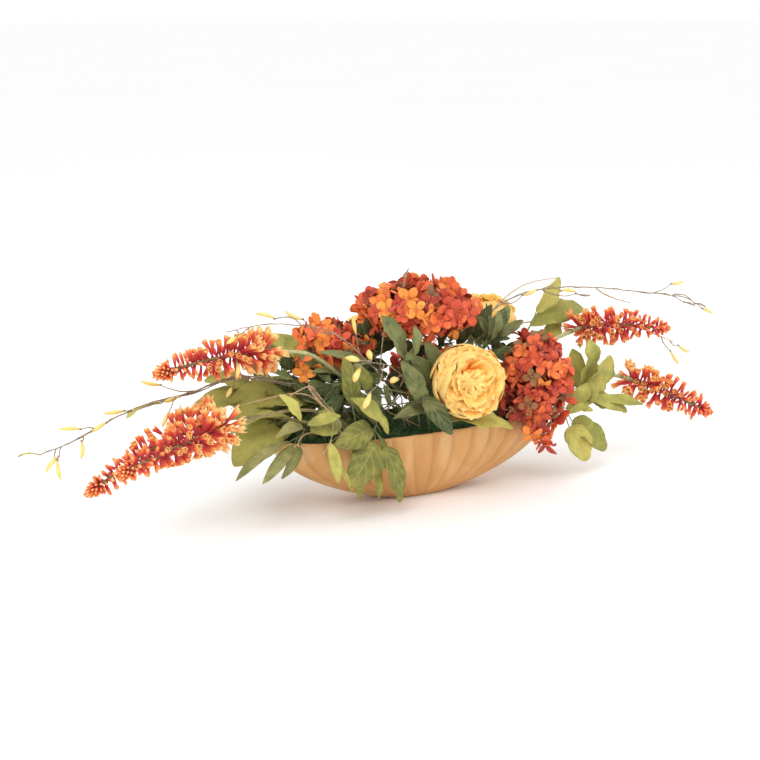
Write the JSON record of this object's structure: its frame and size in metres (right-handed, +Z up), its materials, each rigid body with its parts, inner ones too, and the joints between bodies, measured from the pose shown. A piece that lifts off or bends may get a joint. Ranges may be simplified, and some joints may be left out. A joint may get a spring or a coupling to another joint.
{
  "type": "floral table centerpiece",
  "caption": "Long, low artificial flower arrangement in a fluted boat-shaped bowl: hydrangeas, peonies, torch lilies, podded twigs and leaves, for the middle of a table.",
  "frame": {"origin": "centre of the bowl's flat foot, on the table", "axes": "+X along the bowl, towards the shorter flower spikes; -Y is the front of the arrangement; +Z up"},
  "size_m": [1.1341, 0.3361, 0.307],
  "materials": {
    "bowl": "matte copper-gold lacquer",
    "foam": "dark green dry foam",
    "moss": "dark green moss",
    "hydrangea": "matte silk, rust and orange",
    "peony": "matte silk, golden yellow",
    "torch_lily": "matte silk, crimson to yellow",
    "stem": "olive green",
    "twig": "grey brown with yellow pods",
    "leaf_olive": "matte silk, olive",
    "leaf_pale": "matte silk, pale olive",
    "leaf_sage": "matte silk, sage",
    "leaf_dark": "matte silk, dark green"
  },
  "bodies": {
    "root": {"bowl": "bowl", "foam": "foam", "hydrangea_back_head": "hydrangea", "hydrangea_back_stem": "stem", "hydrangea_left_head": "hydrangea", "hydrangea_left_stem": "stem", "hydrangea_right_head": "hydrangea", "hydrangea_right_stem": "stem", "hydrangea_top_head": "hydrangea", "hydrangea_top_stem": "stem", "leaves_back_left": "leaf_olive", "leaves_back_mid": "leaf_dark", "leaves_back_right": "leaf_olive", "leaves_front_heart": "leaf_olive", "leaves_front_narrow": "leaf_pale", "leaves_left_high": "leaf_dark", "leaves_left_low": "leaf_olive", "leaves_left_mid": "leaf_olive", "leaves_middle_dark": "leaf_dark", "leaves_middle_green": "leaf_dark", "leaves_right_high": "leaf_pale", "leaves_right_low": "leaf_pale", "leaves_right_mid": "leaf_pale", "leaves_sage_rim": "leaf_sage", "moss": "moss", "peony_front_head": "peony", "peony_front_stem": "stem", "peony_left_head": "peony", "peony_left_stem": "stem", "peony_right_head": "peony", "peony_right_stem": "stem", "spray_back": "twig", "spray_left_arc": "twig", "spray_left_long": "twig", "spray_middle": "twig", "spray_right_long": "twig", "spray_rim_curl": "twig", "torch_lily_left_front_spike": "torch_lily", "torch_lily_left_front_stem": "stem", "torch_lily_left_high_spike": "torch_lily", "torch_lily_left_high_stem": "stem", "torch_lily_left_low_spike": "torch_lily", "torch_lily_left_low_stem": "stem", "torch_lily_right_high_spike": "torch_lily", "torch_lily_right_high_stem": "stem", "torch_lily_right_low_spike": "torch_lily", "torch_lily_right_low_stem": "stem"}
  },
  "joints": []
}
